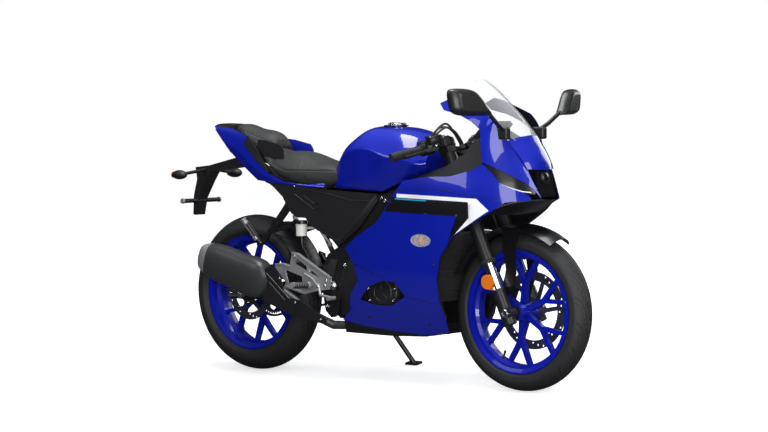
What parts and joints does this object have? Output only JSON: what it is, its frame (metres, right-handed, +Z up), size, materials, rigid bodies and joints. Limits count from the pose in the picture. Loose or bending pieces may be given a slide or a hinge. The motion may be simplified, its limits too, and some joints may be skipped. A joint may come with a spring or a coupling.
{
  "type": "faired sport motorcycle",
  "caption": "Fully faired small sport motorcycle with clip-on handlebars, two seats and cast wheels, leaning on its side stand.",
  "frame": {"origin": "on the ground, at the middle of the parked machine's bounding box", "axes": "+X towards the front wheel, +Y to the rider's left, +Z up"},
  "size_m": [1.9588, 0.793, 1.1706],
  "materials": {
    "amber_lens": "gloss",
    "black_frame_paint": "satin",
    "black_plastic": "matte",
    "black_tube": "gloss",
    "blue_paint": "gloss",
    "blue_wheel_paint": "gloss",
    "brake_steel": "brushed",
    "bright_steel": "satin",
    "caliper_alloy": "satin",
    "cast_alloy": "satin",
    "chain_steel": "satin",
    "chrome_tube": "polished",
    "clear_lens": "gloss",
    "clear_screen": "gloss",
    "dark_alloy": "satin",
    "dark_lens": "gloss",
    "engine_alloy": "satin",
    "gloss_black_plastic": "gloss",
    "grip_rubber": "matte",
    "lever_alloy": "satin",
    "pipe_steel": "satin",
    "radiator_alloy": "satin",
    "red_lens": "gloss",
    "seat_vinyl": "matte",
    "signal_black": "gloss",
    "silencer_black": "satin",
    "tyre_rubber": "satin",
    "white_plastic": "satin"
  },
  "bodies": {
    "frame": {"belly_pan": "black_plastic", "brake_reservoir": "white_plastic", "drive_chain": "chain_steel", "engine": "engine_alloy", "exhaust_pipe": "pipe_steel", "exhaust_silencer": "silencer_black", "foot_controls": "cast_alloy", "footrest_plates": "cast_alloy", "front_signals": "clear_lens", "fuel_tank": "blue_paint", "headlight_unit": "dark_lens", "heat_shield": "black_plastic", "inner_panels": "black_plastic", "instrument_panel": "black_plastic", "main_frame": "black_frame_paint", "mirrors": "black_plastic", "passenger_footrests": "black_frame_paint", "passenger_seat": "seat_vinyl", "radiator": "radiator_alloy", "rear_axle_and_pivot": "bright_steel", "rear_caliper": "caliper_alloy", "rear_fender": "black_plastic", "rear_hugger": "black_plastic", "rear_shock": "black_frame_paint", "rear_signals": "signal_black", "rider_seat": "seat_vinyl", "side_covers": "black_plastic", "side_fairings": "blue_paint", "subframe": "black_frame_paint", "swingarm": "black_frame_paint", "tail_cover": "black_plastic", "tail_fairing": "blue_paint", "tail_light": "red_lens", "upper_fairing": "blue_paint", "windscreen": "clear_screen"},
    "front_wheel": {"front_tyre": "tyre_rubber", "front_rim": "blue_wheel_paint", "front_brake_disc": "brake_steel"},
    "rear_wheel": {"rear_tyre": "tyre_rubber", "rear_rim": "blue_wheel_paint", "rear_brake_disc": "brake_steel", "rear_sprocket": "chain_steel"},
    "steering": {"fork_axle_lugs": "dark_alloy", "fork_stanchions": "chrome_tube", "fork_outer_tubes": "black_tube", "lower_fork_yoke": "dark_alloy", "upper_fork_yoke": "dark_alloy", "front_axle": "bright_steel", "clip_on_bars": "black_tube", "handlebar_grips": "grip_rubber", "switch_housings": "black_plastic", "hand_levers": "lever_alloy", "front_fender": "gloss_black_plastic", "front_caliper": "caliper_alloy", "fork_reflectors": "amber_lens", "brake_hose": "grip_rubber"},
    "side_stand": {"side_stand": "black_frame_paint"},
    "fuel_cap": {"fuel_cap": "bright_steel"}
  },
  "joints": [
    {"name": "steering", "type": "hinge", "parent": "frame", "child": "steering", "pos_m": [0.38307, -0.04082, 0.85555], "axis": [-0.407, 0.1575, 0.8998], "range_deg": [-28, 28]},
    {"name": "front_wheel", "type": "hinge", "parent": "steering", "child": "front_wheel", "pos_m": [0.68335, -0.13928, 0.2923], "axis": [-0.0028, 0.9848, -0.1736], "continuous": true},
    {"name": "rear_wheel", "type": "hinge", "parent": "frame", "child": "rear_wheel", "pos_m": [-0.64167, -0.13981, 0.31034], "axis": [-0.0028, 0.9848, -0.1736], "continuous": true},
    {"name": "side_stand", "type": "hinge", "parent": "frame", "child": "side_stand", "pos_m": [-0.13159, -0.0048, 0.21559], "axis": [0.2048, 0.9373, 0.2821], "range_deg": [0, 95]},
    {"name": "fuel_cap", "type": "hinge", "parent": "frame", "child": "fuel_cap", "pos_m": [0.11664, -0.01995, 0.97816], "axis": [-0.0028, 0.9848, -0.1736], "range_deg": [0, 100]}
  ]
}
